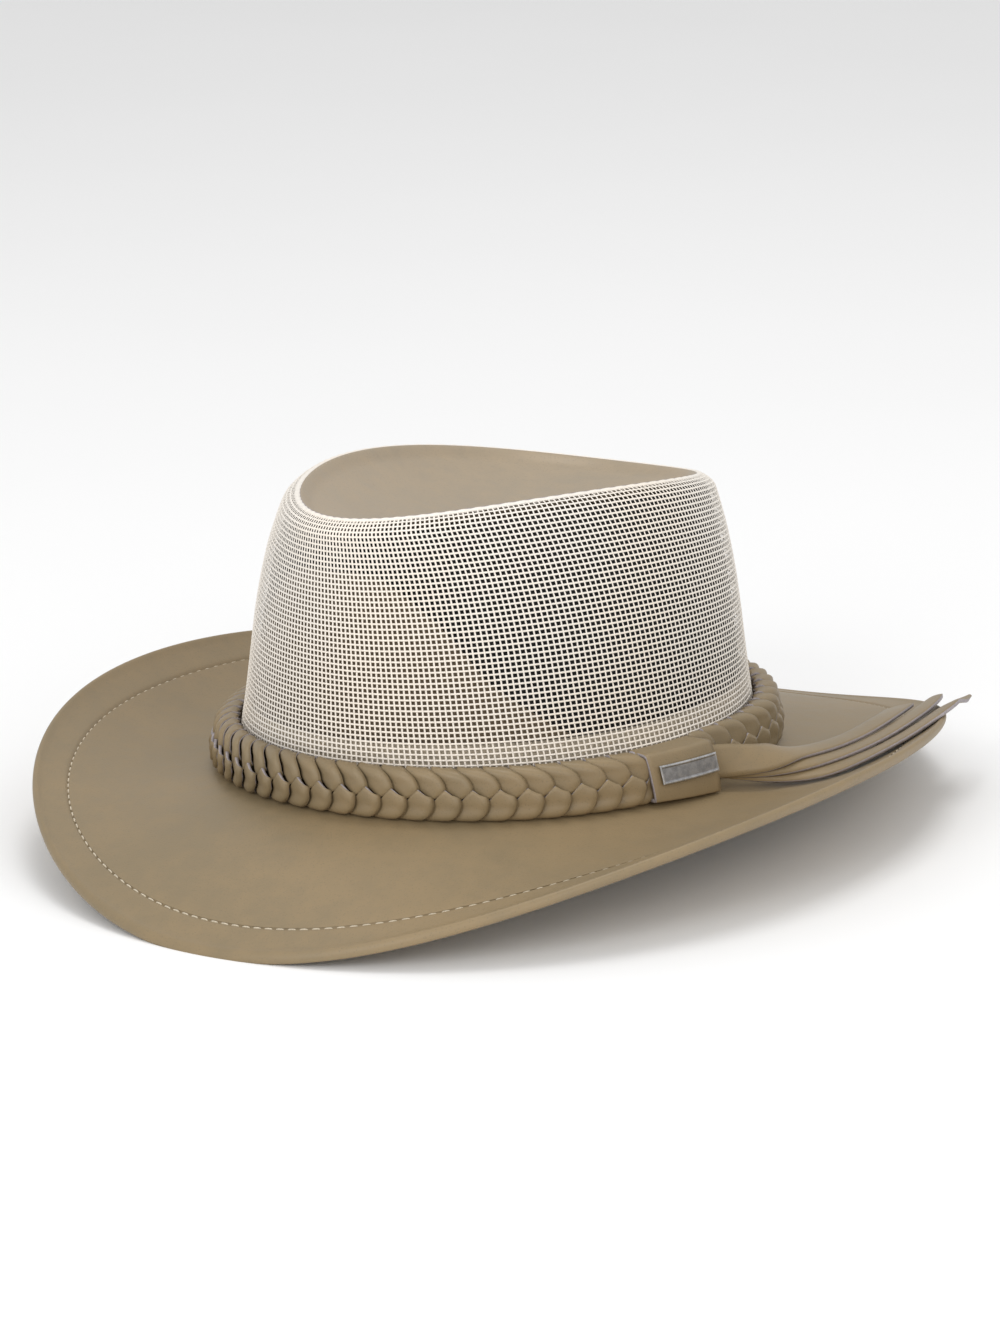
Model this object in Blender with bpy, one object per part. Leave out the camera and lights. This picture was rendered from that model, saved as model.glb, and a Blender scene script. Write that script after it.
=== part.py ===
"""Wide-brimmed sun hat with an open mesh crown, a dished leather tip and a braided leather band.

The hat stands on the front and back dips of its brim. The wearer faces -Y and the wearer's
left is +X. Turns are measured from +X towards +Y, so the front is at -90 degrees.
Lengths are metres. The base oval is the crown's outer line where it meets the brim.
"""
from collections import namedtuple
from math import cos, degrees, floor, hypot, radians, sin, tau

import bmesh
import bpy
from mathutils import Vector

# Clearances between pieces that touch on the real hat
GAP = 0.0003
SOFT_GAP = 0.0004
WELD = 0.00002

# Base oval, and how far its centre lies behind the middle of the brim
HEAD_HALF_WIDTH = 0.0865
HEAD_HALF_LENGTH = 0.1083
CROWN_SET_BACK = 0.0022

# Brim: plan, thickness and heights above the surface that it rests on
BRIM_HALF_WIDTH = 0.1518
BRIM_HALF_LENGTH = 0.1840
BRIM_THICKNESS = 0.0024
HEM_WIDTH = 0.0125
BREAK_HEIGHT = 0.0279
BREAK_DIP = 0.0022
BACK_DROP = 0.0095
EDGE_HEIGHT = 0.0202
EDGE_CURL = 0.0188
EDGE_NOSE_LIFT = 0.0008
EDGE_SWEEP = 0.0008
EDGE_FLATTEN = 0.0014
SIDE_SAG = 0.0085
END_SAG = -0.0035
BACK_SAG = 0.0030

# Crown: seam line of the leather tip, and the rounded shoulder outside it
SEAM_HALF_WIDTH = 0.0557
SEAM_HALF_LENGTH = 0.0956
SEAM_SET_FORWARD = 0.0058
SEAM_NARROWING = 0.23
SEAM_HEIGHT = 0.1220
SEAM_SLOPE = 0.0097
SEAM_SADDLE = 0.0035
SHOULDER_OUT = 0.0070
SHOULDER_DROP = 0.0040
MESH_THICKNESS = 0.0014
MESH_SEAM_DEPTH = 0.0034
TIP_THICKNESS = 0.0014
TIP_DISH = 0.0150
TIP_BOWL = 2.2

# Sweatband, the stiff panel behind the front of the mesh, and the dark lining inside both
SWEATBAND_HEIGHT = 0.0270
SWEATBAND_THICKNESS = 0.0014
PANEL_RISE = 0.0570
PANEL_HALF_TURN = 56.0
PANEL_THICKNESS = 0.0012
LINING_THICKNESS = 0.0008

# Braided band
BAND_HEIGHT = 0.0162
BAND_PROUD = 0.0082
LINKS = 68
LINK_RELIEF = 0.24

# Keeper that closes the band, its plate, and the three loose strips
KEEPER_TURN = -14.2
KEEPER_LENGTH = 0.0270
KEEPER_THICKNESS = 0.0012
KEEPER_OVER = 0.0014
KEEPER_SEAT = 0.0085
KEEPER_FLARE = 0.0012
PLATE_LENGTH = 0.0236
PLATE_HEIGHT = 0.0066
PLATE_THICKNESS = 0.0007
PLATE_RECESS = 0.00025
PLATE_FORWARD = 0.6
PLATE_LEVEL = 0.60
STRIP_THICKNESS = 0.0012
STRIP_WIDTH = 0.0115
CORE_THICKNESS = 0.0012
CORE_SPREAD = 1.3
NECK_TURN = 9.0
NECK_MARGIN = 1.2

# Numbers of steps: round the hat, along a link, along a strip, in towards the middle of the
# tip, up the sweatband, across and up the panel, and along the keeper
ROUND_STEPS = 60
LINK_STEPS = 3
STRIP_STEPS = 22
TIP_STEPS = 4
BAND_STEPS = 2
PANEL_STEPS = 24
PANEL_STEPS_UP = 4
KEEPER_STEPS = 6

# Brim section, over the top from the crown to the edge and back underneath.
# across: share of the way from the crown to the hem line; hem: share of the hem's width
# beyond it; rise: share of the brim's thickness above its middle surface.
BrimRow = namedtuple("BrimRow", "across hem rise")
BRIM_ROWS = (
    BrimRow(0.00, 0.00, 0.50), BrimRow(0.22, 0.00, 0.50), BrimRow(0.46, 0.00, 0.50),
    BrimRow(0.71, 0.00, 0.50), BrimRow(0.97, 0.00, 0.50), BrimRow(1.00, 0.00, 0.18),
    BrimRow(1.00, 0.09, 0.58),
    BrimRow(1.00, 0.72, 0.66), BrimRow(1.00, 0.90, 0.86), BrimRow(1.00, 1.00, 0.20),
    BrimRow(1.00, 0.98, -0.55), BrimRow(1.00, 0.82, -0.90), BrimRow(1.00, 0.60, -0.62),
    BrimRow(1.00, 0.00, -0.50), BrimRow(0.66, 0.00, -0.50), BrimRow(0.33, 0.00, -0.50),
    BrimRow(0.00, 0.00, -0.50),
)

# Crown wall from the brim up. height and lean: shares of the way from the base oval to the
# shoulder, upwards and inwards; tuck: share of the way over the shoulder to the seam.
CrownRow = namedtuple("CrownRow", "height lean tuck")
CROWN_ROWS = (
    CrownRow(0.00, 0.00, 0.00), CrownRow(0.15, 0.13, 0.00), CrownRow(0.30, 0.25, 0.00),
    CrownRow(0.60, 0.46, 0.00), CrownRow(0.80, 0.67, 0.00), CrownRow(0.93, 0.87, 0.00),
    CrownRow(1.00, 1.00, 0.00), CrownRow(1.00, 1.00, 0.40), CrownRow(1.00, 1.00, 1.00),
)
SHOULDER_BULGE = 0.30

# Lining: shares of the wall's height above the sweatband
LINING_ROWS = (0.0, 0.73, 1.0)

# Upper outline of the front panel: share of its half turn, share of its rise
PanelRow = namedtuple("PanelRow", "turn rise")
PANEL_ROWS = (
    PanelRow(0.00, 1.00), PanelRow(0.27, 0.99), PanelRow(0.36, 0.92), PanelRow(0.42, 0.86),
    PanelRow(0.54, 0.71), PanelRow(0.61, 0.57), PanelRow(0.71, 0.36), PanelRow(0.80, 0.24),
    PanelRow(1.00, 0.02),
)

# Braid section, from the inner bottom edge outwards and up. out and up: shares of how far
# the band stands proud and of its height; row: the row of links that shapes the point.
BraidRow = namedtuple("BraidRow", "out up row")
BRAID_ROWS = (
    BraidRow(0.00, 0.00, 0), BraidRow(0.55, 0.03, -1), BraidRow(1.00, 0.22, -1),
    BraidRow(0.90, 0.50, 0), BraidRow(1.00, 0.78, 1), BraidRow(0.70, 1.00, 1),
    BraidRow(0.06, 0.98, 0), BraidRow(0.00, 0.50, 0),
)

# Keeper section: shares of its depth outwards and of its height
KeeperRow = namedtuple("KeeperRow", "out up")
KEEPER_ROWS = (
    KeeperRow(0.00, 0.00), KeeperRow(0.80, 0.00), KeeperRow(0.97, 0.10), KeeperRow(1.00, 0.50),
    KeeperRow(0.97, 0.88), KeeperRow(0.80, 1.00), KeeperRow(0.00, 1.00), KeeperRow(0.00, 0.50),
)

# Plate: shares of its length and height where its columns and lines of corners lie. The two
# nearest each end are the raised border.
PLATE_COLUMNS = (0.0, 0.035, 0.06, 0.35, 0.65, 0.94, 0.965, 1.0)
PLATE_LINES = (0.0, 0.12, 0.2, 0.8, 0.88, 1.0)

# Route of the middle strip, from the keeper to the tip. turn: degrees round the crown;
# across: share of the brim's width out from the base oval; lift and stack: strip thicknesses
# above the brim, and from one strip to the next; roll: degrees, 90 where the strips stand
# against the band, 0 where they lie along the brim; fan: strip widths between two strips.
RouteRow = namedtuple("RouteRow", "turn across lift stack roll fan")
ROUTE_ROWS = (
    RouteRow(-18.5, 0.0585, 7.8, 1.27, 64, 0.00), RouteRow(-8.0, 0.0615, 7.9, 1.27, 62, 0.00),
    RouteRow(-2.5, 0.1150, 7.8, 1.40, 54, 0.00), RouteRow(4.0, 0.2700, 6.7, 1.80, 30, 0.15),
    RouteRow(11.5, 0.4400, 4.9, 1.90, 5, 0.65), RouteRow(21.5, 0.6400, 3.9, 1.80, 0, 0.85),
    RouteRow(32.0, 0.8400, 3.6, 1.50, 0, 1.02), RouteRow(41.0, 0.9800, 2.8, 0.50, 0, 1.20),
)

# Strips: place in the stack and in the fan, share of the route, and the end's share of width
Strip = namedtuple("Strip", "layer reach tip")
STRIPS = {
    "tail_inner": Strip(1, 1.0, 1.0),
    "tail_middle": Strip(0, 1.0, 0.5),
    "tail_outer": Strip(-1, 0.97, 0.08),
}
TAPER_SHARE = 0.16

LEATHER = ("tan_leather", (0.305, 0.235, 0.150), 0.52, 0.0)
LEATHER_EDGE = ("tan_leather_strip", (0.290, 0.222, 0.142), 0.52, 0.0)
MESH = ("coated_mesh", (0.800, 0.745, 0.660), 0.48, 0.0)
PANEL = ("tan_panel", (0.330, 0.240, 0.150), 0.75, 0.0)
LINING = ("dark_lining", (0.020, 0.019, 0.018), 0.85, 0.0)
TOWEL = ("sweatband_cloth", (0.560, 0.500, 0.420), 0.90, 0.0)
METAL = ("antique_silver", (0.420, 0.420, 0.430), 0.38, 0.9)


def clear_scene():
    """Remove the objects that the file starts with."""
    for item in list(bpy.data.objects):
        bpy.data.objects.remove(item, do_unlink=True)


def between(table, column, key, value):
    """Read a column of a table at a value of its key column, straight between the rows."""
    for low, high in zip(table, table[1:]):
        start, end = getattr(low, key), getattr(high, key)
        if start <= value <= end and end > start:
            share = (value - start) / (end - start)
            return getattr(low, column) * (1 - share) + getattr(high, column) * share
    return getattr(table[0] if value < getattr(table[0], key) else table[-1], column)


def smooth_row(table, share):
    """Read all columns of a table at a share of its rows, on a smooth curve through them."""
    place = min(max(share, 0.0), 1.0) * (len(table) - 1)
    index = min(int(floor(place)), len(table) - 2)
    step = place - index
    rows = [table[min(max(index + offset, 0), len(table) - 1)] for offset in (-1, 0, 1, 2)]
    values = []
    for before, low, high, after in zip(*rows):
        pull_low, pull_high = (high - before) / 2, (after - low) / 2
        values.append(low + step * (pull_low + step * (
            3 * (high - low) - 2 * pull_low - pull_high
            + step * (2 * (low - high) + pull_low + pull_high))))
    return type(table[0])(*values)


def base_point(turn, outside=0.0, height=0.0):
    """Point at a distance outside the base oval, square to it."""
    place = Vector((HEAD_HALF_WIDTH * cos(turn), HEAD_HALF_LENGTH * sin(turn), 0))
    normal = Vector((cos(turn) / HEAD_HALF_WIDTH, sin(turn) / HEAD_HALF_LENGTH, 0)).normalized()
    return place + normal * outside + Vector((0, CROWN_SET_BACK, height))


def edge_height(turn):
    """Height of the middle of the brim's edge: high at the sides, low at front and back."""
    return (EDGE_HEIGHT + EDGE_CURL * cos(2 * turn) - EDGE_NOSE_LIFT * sin(turn)
            - EDGE_SWEEP * sin(3 * turn) - EDGE_FLATTEN * cos(4 * turn))


def backward(turn):
    """Share of the way to the back of the hat, nearly all of it behind the middle."""
    return ((1 + sin(turn)) / 2) ** 3


def break_height(turn):
    """Height of the brim's upper face where it meets the crown: lower at the sides and back."""
    return BREAK_HEIGHT - BREAK_DIP * cos(2 * turn) - BACK_DROP * backward(turn)


def brim_point(turn, across, rise=0.0):
    """Point across the brim, 0 at the base oval and 1 at the edge, above its middle surface."""
    edge = Vector((BRIM_HALF_WIDTH * cos(turn), BRIM_HALF_LENGTH * sin(turn), 0))
    place = base_point(turn).lerp(edge, across)
    inner = min(across, 1.0)
    sag = ((SIDE_SAG + END_SAG) / 2 + (SIDE_SAG - END_SAG) / 2 * cos(2 * turn)
           + BACK_SAG * backward(turn))
    middle = break_height(turn) - BRIM_THICKNESS / 2
    height = middle + (edge_height(turn) - middle) * inner - 4 * sag * inner * (1 - inner)
    place.z = height + rise
    return place


def brim_width(turn):
    """Distance from the base oval to the edge, seen from above."""
    across = brim_point(turn, 1.0) - brim_point(turn, 0.0)
    return hypot(across.x, across.y)


def brim_top(turn, outside):
    """Height of the brim's upper face at a distance outside the base oval."""
    return brim_point(turn, max(outside, 0.0) / brim_width(turn), BRIM_THICKNESS / 2).z


def seam_point(turn):
    """Point on the seam between the mesh and the leather tip."""
    return Vector((
        SEAM_HALF_WIDTH * cos(turn) * (1 + SEAM_NARROWING * sin(turn)),
        CROWN_SET_BACK - SEAM_SET_FORWARD + SEAM_HALF_LENGTH * sin(turn),
        SEAM_HEIGHT - SEAM_SLOPE * sin(turn) + SEAM_SADDLE * cos(2 * turn)))


def shoulder_point(turn):
    """Point on the crown's shoulder, outside the seam and a little lower."""
    return seam_point(turn) + Vector((
        SHOULDER_OUT * cos(turn), SHOULDER_OUT * sin(turn), -SHOULDER_DROP))


def wall_point(turn, height, lean, inset=0.0):
    """Point on the crown's wall at shares of its height and lean, set in towards the head."""
    base, top = base_point(turn, -inset, break_height(turn)), shoulder_point(turn)
    top -= Vector((cos(turn), sin(turn), 0)) * inset
    place = base.lerp(top, lean)
    place.z = base.z + (top.z - base.z) * height
    return place


def wall_at(turn, level, inset=0.0):
    """Point on the crown's wall at a height above the surface that the hat rests on."""
    foot = break_height(turn)
    height = (level - foot) / (shoulder_point(turn).z - foot)
    wall = tuple(row for row in CROWN_ROWS if row.tuck == 0)
    lean = between(wall, "lean", "height", height)
    return wall_point(turn, height, lean, inset)


def mesh_from_grid(name, place, steps_along, steps_across, closed=False):
    """Bend a flat grid into a surface and weld the ends that meet.

    place(along, across) gives a point for shares 0 to 1 each way. A sheet's outer side is
    the grid's upper side; a closed body has its faces turned outwards.
    """
    form = bmesh.new()
    bmesh.ops.create_grid(form, x_segments=steps_along, y_segments=steps_across, size=0.5)
    for vert in form.verts:
        vert.co = place(vert.co.x + 0.5, vert.co.y + 0.5)
    bmesh.ops.remove_doubles(form, verts=form.verts, dist=WELD)
    if closed:
        bmesh.ops.recalc_face_normals(form, faces=form.faces)
    mesh = bpy.data.meshes.new(name)
    form.to_mesh(mesh)
    form.free()
    return mesh


def material_of(finish):
    """Material for a finish: a name, a colour, a roughness and a metallic value."""
    name, colour, roughness, metallic = finish
    material = bpy.data.materials.get(name) or bpy.data.materials.new(name)
    material.use_nodes = True
    shader = material.node_tree.nodes["Principled BSDF"]
    shader.inputs["Base Color"].default_value = (*colour, 1.0)
    shader.inputs["Roughness"].default_value = roughness
    shader.inputs["Metallic"].default_value = metallic
    return material


def add_object(mesh, finish, wall=0.0, offset=-1.0, smooth=40.0):
    """Put a mesh in the scene with its finish, and give an open sheet its wall."""
    item = bpy.data.objects.new(mesh.name, mesh)
    bpy.context.collection.objects.link(item)
    mesh.materials.append(material_of(finish))
    mesh.shade_smooth()
    mesh.set_sharp_from_angle(angle=radians(smooth))
    if wall:
        solidify = item.modifiers.new("wall", "SOLIDIFY")
        solidify.thickness = wall
        solidify.offset = offset
        solidify.use_even_offset = True
    return item


def build_brim():
    """Brim with its hem line and rolled edge, pressed flat where it rests."""
    def place(along, section):
        turn = along * tau
        row = BRIM_ROWS[round(section * len(BRIM_ROWS)) % len(BRIM_ROWS)]
        width = brim_width(turn)
        hem_line = 1 - HEM_WIDTH / width
        start = GAP / width
        across = start + (hem_line - start) * row.across + HEM_WIDTH / width * row.hem
        point = brim_point(turn, across, row.rise * BRIM_THICKNESS)
        point.z = max(point.z, 0.0)
        return point
    mesh = mesh_from_grid("brim", place, ROUND_STEPS, len(BRIM_ROWS), True)
    return add_object(mesh, LEATHER)


def build_crown_mesh():
    """Open mesh wall of the crown, from under the brim to the seam on top."""
    def place(along, section):
        turn = along * tau
        row = CROWN_ROWS[max(round(section * len(CROWN_ROWS)) - 1, 0)]
        if section < 0.5 / len(CROWN_ROWS):
            return base_point(turn, 0.0, break_height(turn) - MESH_SEAM_DEPTH)
        point = wall_point(turn, row.height, row.lean)
        point = point.lerp(seam_point(turn), row.tuck)
        point.z += SHOULDER_DROP * SHOULDER_BULGE * 4 * row.tuck * (1 - row.tuck)
        return point
    mesh = mesh_from_grid("crown_mesh", place, ROUND_STEPS, len(CROWN_ROWS))
    return add_object(mesh, MESH, MESH_THICKNESS)


def build_crown_tip():
    """Dished leather tip, tucked under the end of the mesh."""
    def place(along, inward):
        turn = along * tau
        rim, middle = seam_point(turn), Vector((0, CROWN_SET_BACK - SEAM_SET_FORWARD, 0))
        out = 1 - inward
        point = rim.lerp(middle, inward)
        point.z = (SEAM_HEIGHT - SEAM_SLOPE * sin(turn) * out
                   + SEAM_SADDLE * cos(2 * turn) * out ** 2
                   - MESH_THICKNESS - SOFT_GAP - TIP_DISH * (1 - out ** TIP_BOWL))
        return point
    mesh = mesh_from_grid("crown_tip", place, ROUND_STEPS, TIP_STEPS)
    return add_object(mesh, LEATHER, TIP_THICKNESS)


def build_sweatband():
    """Sweatband inside the foot of the crown."""
    inset = MESH_THICKNESS + SOFT_GAP

    def place(along, up):
        turn = along * tau
        level = SWEATBAND_HEIGHT * up - MESH_SEAM_DEPTH
        if level < 0:
            return base_point(turn, -inset, break_height(turn) + level)
        return wall_at(turn, break_height(turn) + level, inset)
    mesh = mesh_from_grid("sweatband", place, ROUND_STEPS, BAND_STEPS)
    return add_object(mesh, TOWEL, SWEATBAND_THICKNESS)


def build_front_panel():
    """Stiff panel behind the front of the mesh, standing on the sweatband."""
    inset = MESH_THICKNESS + SOFT_GAP
    foot = SWEATBAND_HEIGHT - MESH_SEAM_DEPTH + GAP

    def place(along, up):
        side = 2 * along - 1
        turn = radians(side * PANEL_HALF_TURN - 90)
        rise = PANEL_RISE * between(PANEL_ROWS, "rise", "turn", abs(side))
        return wall_at(turn, break_height(turn) + foot + rise * up, inset)
    mesh = mesh_from_grid("front_panel", place, PANEL_STEPS, PANEL_STEPS_UP)
    return add_object(mesh, PANEL, PANEL_THICKNESS)


def build_crown_lining():
    """Dark lining inside the mesh, from the top of the sweatband to the shoulder."""
    inset = MESH_THICKNESS + SOFT_GAP + PANEL_THICKNESS + SOFT_GAP
    foot = SWEATBAND_HEIGHT - MESH_SEAM_DEPTH + GAP

    def place(along, up):
        turn = along * tau
        low, high = break_height(turn) + foot, shoulder_point(turn).z
        share = LINING_ROWS[round(up * (len(LINING_ROWS) - 1))]
        return wall_at(turn, low + (high - low) * share, inset)
    mesh = mesh_from_grid("crown_lining", place, ROUND_STEPS, len(LINING_ROWS) - 1)
    return add_object(mesh, LINING, LINING_THICKNESS)


def keeper_half_turn():
    """Half the turn that the keeper covers, in degrees."""
    reach = base_point(radians(KEEPER_TURN)).xy.length + BAND_PROUD
    return KEEPER_LENGTH / reach / 2 / radians(1)


def keeper_depth():
    """Distance from the crown's wall to the keeper's outer face."""
    return BAND_PROUD + KEEPER_OVER


def band_point(turn, out, level):
    """Point at a distance out from the crown's wall, at a height above the brim's top."""
    wall = wall_at(turn, break_height(turn) + level)
    point = wall + (base_point(turn, 1.0) - base_point(turn)) * out
    point.z = break_height(turn) + level
    return point


def build_braided_band():
    """Braid of two rows of folded links, half a link apart, drawn in under the keeper."""
    half = keeper_half_turn()
    margin = NECK_MARGIN * 360 / (LINKS * LINK_STEPS)
    first, last = KEEPER_TURN - half - margin, KEEPER_TURN + half
    inner = GAP + KEEPER_THICKNESS + GAP

    def place(along, section):
        angle = (along * 360 + 180) % 360 - 180
        row = BRAID_ROWS[round(section * len(BRAID_ROWS)) % len(BRAID_ROWS)]
        if first < angle < last + NECK_TURN:
            lowest = GAP + KEEPER_THICKNESS + GAP
            tallest = BAND_HEIGHT - 2 * lowest
            start = inner if angle < last + margin else GAP
            return band_point(radians(angle), start + CORE_THICKNESS * min(row.out * CORE_SPREAD, 1),
                              lowest + tallest * row.up)
        link = along * LINKS + (0.5 if row.row > 0 else 0.0)
        rise = link - floor(link + WELD)
        fold = 1 - LINK_RELIEF * (1 - rise) if row.row else 1.0
        out = GAP + (BAND_PROUD - GAP) * row.out * fold
        return band_point(radians(angle), out, GAP + BAND_HEIGHT * row.up)
    mesh = mesh_from_grid("braided_band", place, LINKS * LINK_STEPS, len(BRAID_ROWS), True)
    return add_object(mesh, LEATHER)


def build_keeper():
    """Leather loop that wraps the band and the roots of the strips."""
    half = keeper_half_turn()

    def place(along, section):
        turn = radians(KEEPER_TURN + half * (2 * along - 1))
        row = KEEPER_ROWS[round(section * len(KEEPER_ROWS)) % len(KEEPER_ROWS)]
        out = GAP + (keeper_depth() + KEEPER_FLARE * along - GAP) * row.out
        point = band_point(turn, out, GAP + (BAND_HEIGHT + GAP) * row.up)
        sink = break_height(turn) - brim_top(turn, KEEPER_SEAT * row.out)
        point.z -= sink * along * (1 - row.up)
        return point
    mesh = mesh_from_grid("keeper", place, KEEPER_STEPS, len(KEEPER_ROWS))
    return add_object(mesh, LEATHER, KEEPER_THICKNESS)


def build_keeper_plate():
    """Plain metal plate with a raised border on the keeper's outer face."""
    turn_each = 1 / (base_point(radians(KEEPER_TURN)).xy.length + keeper_depth())

    def place(along, up):
        column = round(along * (len(PLATE_COLUMNS) - 1))
        line = round(up * (len(PLATE_LINES) - 1))
        border = column < 2 or column > len(PLATE_COLUMNS) - 3 or line < 2 or line > len(PLATE_LINES) - 3
        turn = radians(KEEPER_TURN + PLATE_FORWARD) + (PLATE_COLUMNS[column] - 0.5) * (
            PLATE_LENGTH * turn_each)
        place_on = (degrees(turn) - KEEPER_TURN) / keeper_half_turn() / 2 + 0.5
        out = (keeper_depth() + KEEPER_FLARE * place_on
               + SOFT_GAP + PLATE_RECESS + PLATE_THICKNESS)
        level = BAND_HEIGHT * PLATE_LEVEL + (PLATE_LINES[line] - 0.5) * PLATE_HEIGHT
        return band_point(turn, out - (0 if border else PLATE_RECESS), level)
    mesh = mesh_from_grid("keeper_plate", place, len(PLATE_COLUMNS) - 1, len(PLATE_LINES) - 1)
    return add_object(mesh, METAL, PLATE_THICKNESS)


def build_strip(name, strip):
    """Loose leather strip from inside the keeper, twisting flat onto the brim."""
    def place(along, side):
        row = smooth_row(ROUTE_ROWS, along * strip.reach)
        turn = radians(row.turn)
        tilt = radians(row.roll)
        aside = strip.layer * row.fan * STRIP_WIDTH
        across = row.across - aside * cos(tilt) / brim_width(turn)
        middle = brim_point(turn, across, BRIM_THICKNESS / 2 + row.lift * STRIP_THICKNESS)
        inward = (brim_point(turn, across - 0.1) - brim_point(turn, across)).normalized()
        run = brim_point(turn + 0.01, across) - brim_point(turn, across)
        upward = run.cross(inward).normalized()
        over = inward * cos(tilt) + upward * sin(tilt)
        outward = upward * cos(tilt) - inward * sin(tilt)
        taper = min((1 - along) / TAPER_SHARE, 1.0)
        half = STRIP_WIDTH / 2 * (strip.tip + (1 - strip.tip) * taper)
        return (middle + over * (2 * side - 1) * half + upward * aside * sin(tilt)
                + outward * strip.layer * row.stack * STRIP_THICKNESS)
    mesh = mesh_from_grid(name, place, STRIP_STEPS, 2)
    return add_object(mesh, LEATHER_EDGE, STRIP_THICKNESS, offset=0.0)


def main():
    """Build the hat, piece by piece."""
    clear_scene()
    build_brim()
    build_crown_mesh()
    build_crown_tip()
    build_sweatband()
    build_front_panel()
    build_crown_lining()
    build_braided_band()
    build_keeper()
    build_keeper_plate()
    for name, strip in STRIPS.items():
        build_strip(name, strip)


main()
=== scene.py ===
"""Looks of a wide-brimmed sun hat with an open mesh crown and a braided leather band.

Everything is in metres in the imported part's frame: the wearer faces -Y and the wearer's left
is +X. Turns are measured from +X towards +Y, so the front is at -90 degrees. HatForm repeats
the part's own sizes and surfaces, and every sub-assembly builds its pieces on them.
"""
import logging
from dataclasses import dataclass
from functools import partial
from math import cos, degrees, floor, hypot, pi, radians, sin, tau
from typing import Callable, NamedTuple, Sequence

import bmesh
import bpy
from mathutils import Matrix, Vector


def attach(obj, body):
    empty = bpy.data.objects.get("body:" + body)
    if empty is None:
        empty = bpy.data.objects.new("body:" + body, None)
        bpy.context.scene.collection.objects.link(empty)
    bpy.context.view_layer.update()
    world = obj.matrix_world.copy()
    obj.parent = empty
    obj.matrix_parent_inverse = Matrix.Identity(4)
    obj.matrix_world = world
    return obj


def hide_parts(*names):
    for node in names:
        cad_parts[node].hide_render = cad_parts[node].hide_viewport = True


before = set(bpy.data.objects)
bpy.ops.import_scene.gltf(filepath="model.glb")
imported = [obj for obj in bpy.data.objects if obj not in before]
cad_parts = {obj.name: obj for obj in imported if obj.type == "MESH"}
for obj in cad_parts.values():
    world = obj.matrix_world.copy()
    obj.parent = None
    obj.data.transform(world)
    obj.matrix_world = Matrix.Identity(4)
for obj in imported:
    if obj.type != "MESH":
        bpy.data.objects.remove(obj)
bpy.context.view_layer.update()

LOG = logging.getLogger("hat")
BODY = "root"
UP = Vector((0, 0, 1))

Place = Callable[[float, float], Vector]
Colour = tuple[float, float, float]
Form = bmesh.types.BMesh


# Shader expressions and finishes


@dataclass
class Shade:
    """A socket of a finish, used in expressions that add Math nodes."""

    tree: "FinishTree"
    socket: bpy.types.NodeSocket

    def __add__(self, other: "Shade | float") -> "Shade":
        """Sum of two values."""
        return self.tree.maths("ADD", self, other)

    def __rsub__(self, other: float) -> "Shade":
        """Difference of a number and this value."""
        return self.tree.maths("SUBTRACT", other, self)

    def __mul__(self, other: "Shade | float") -> "Shade":
        """Product of two values."""
        return self.tree.maths("MULTIPLY", self, other)

    def between(self, low: float = 0.3, high: float = 0.7) -> "Shade":
        """Smooth share, 0 where the value is low and 1 where it is high."""
        made = self.tree.node("ShaderNodeMapRange", {"interpolation_type": "SMOOTHSTEP"},
                              {"Value": self, "From Min": low, "From Max": high})
        return Shade(self.tree, made.outputs["Result"])


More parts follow.
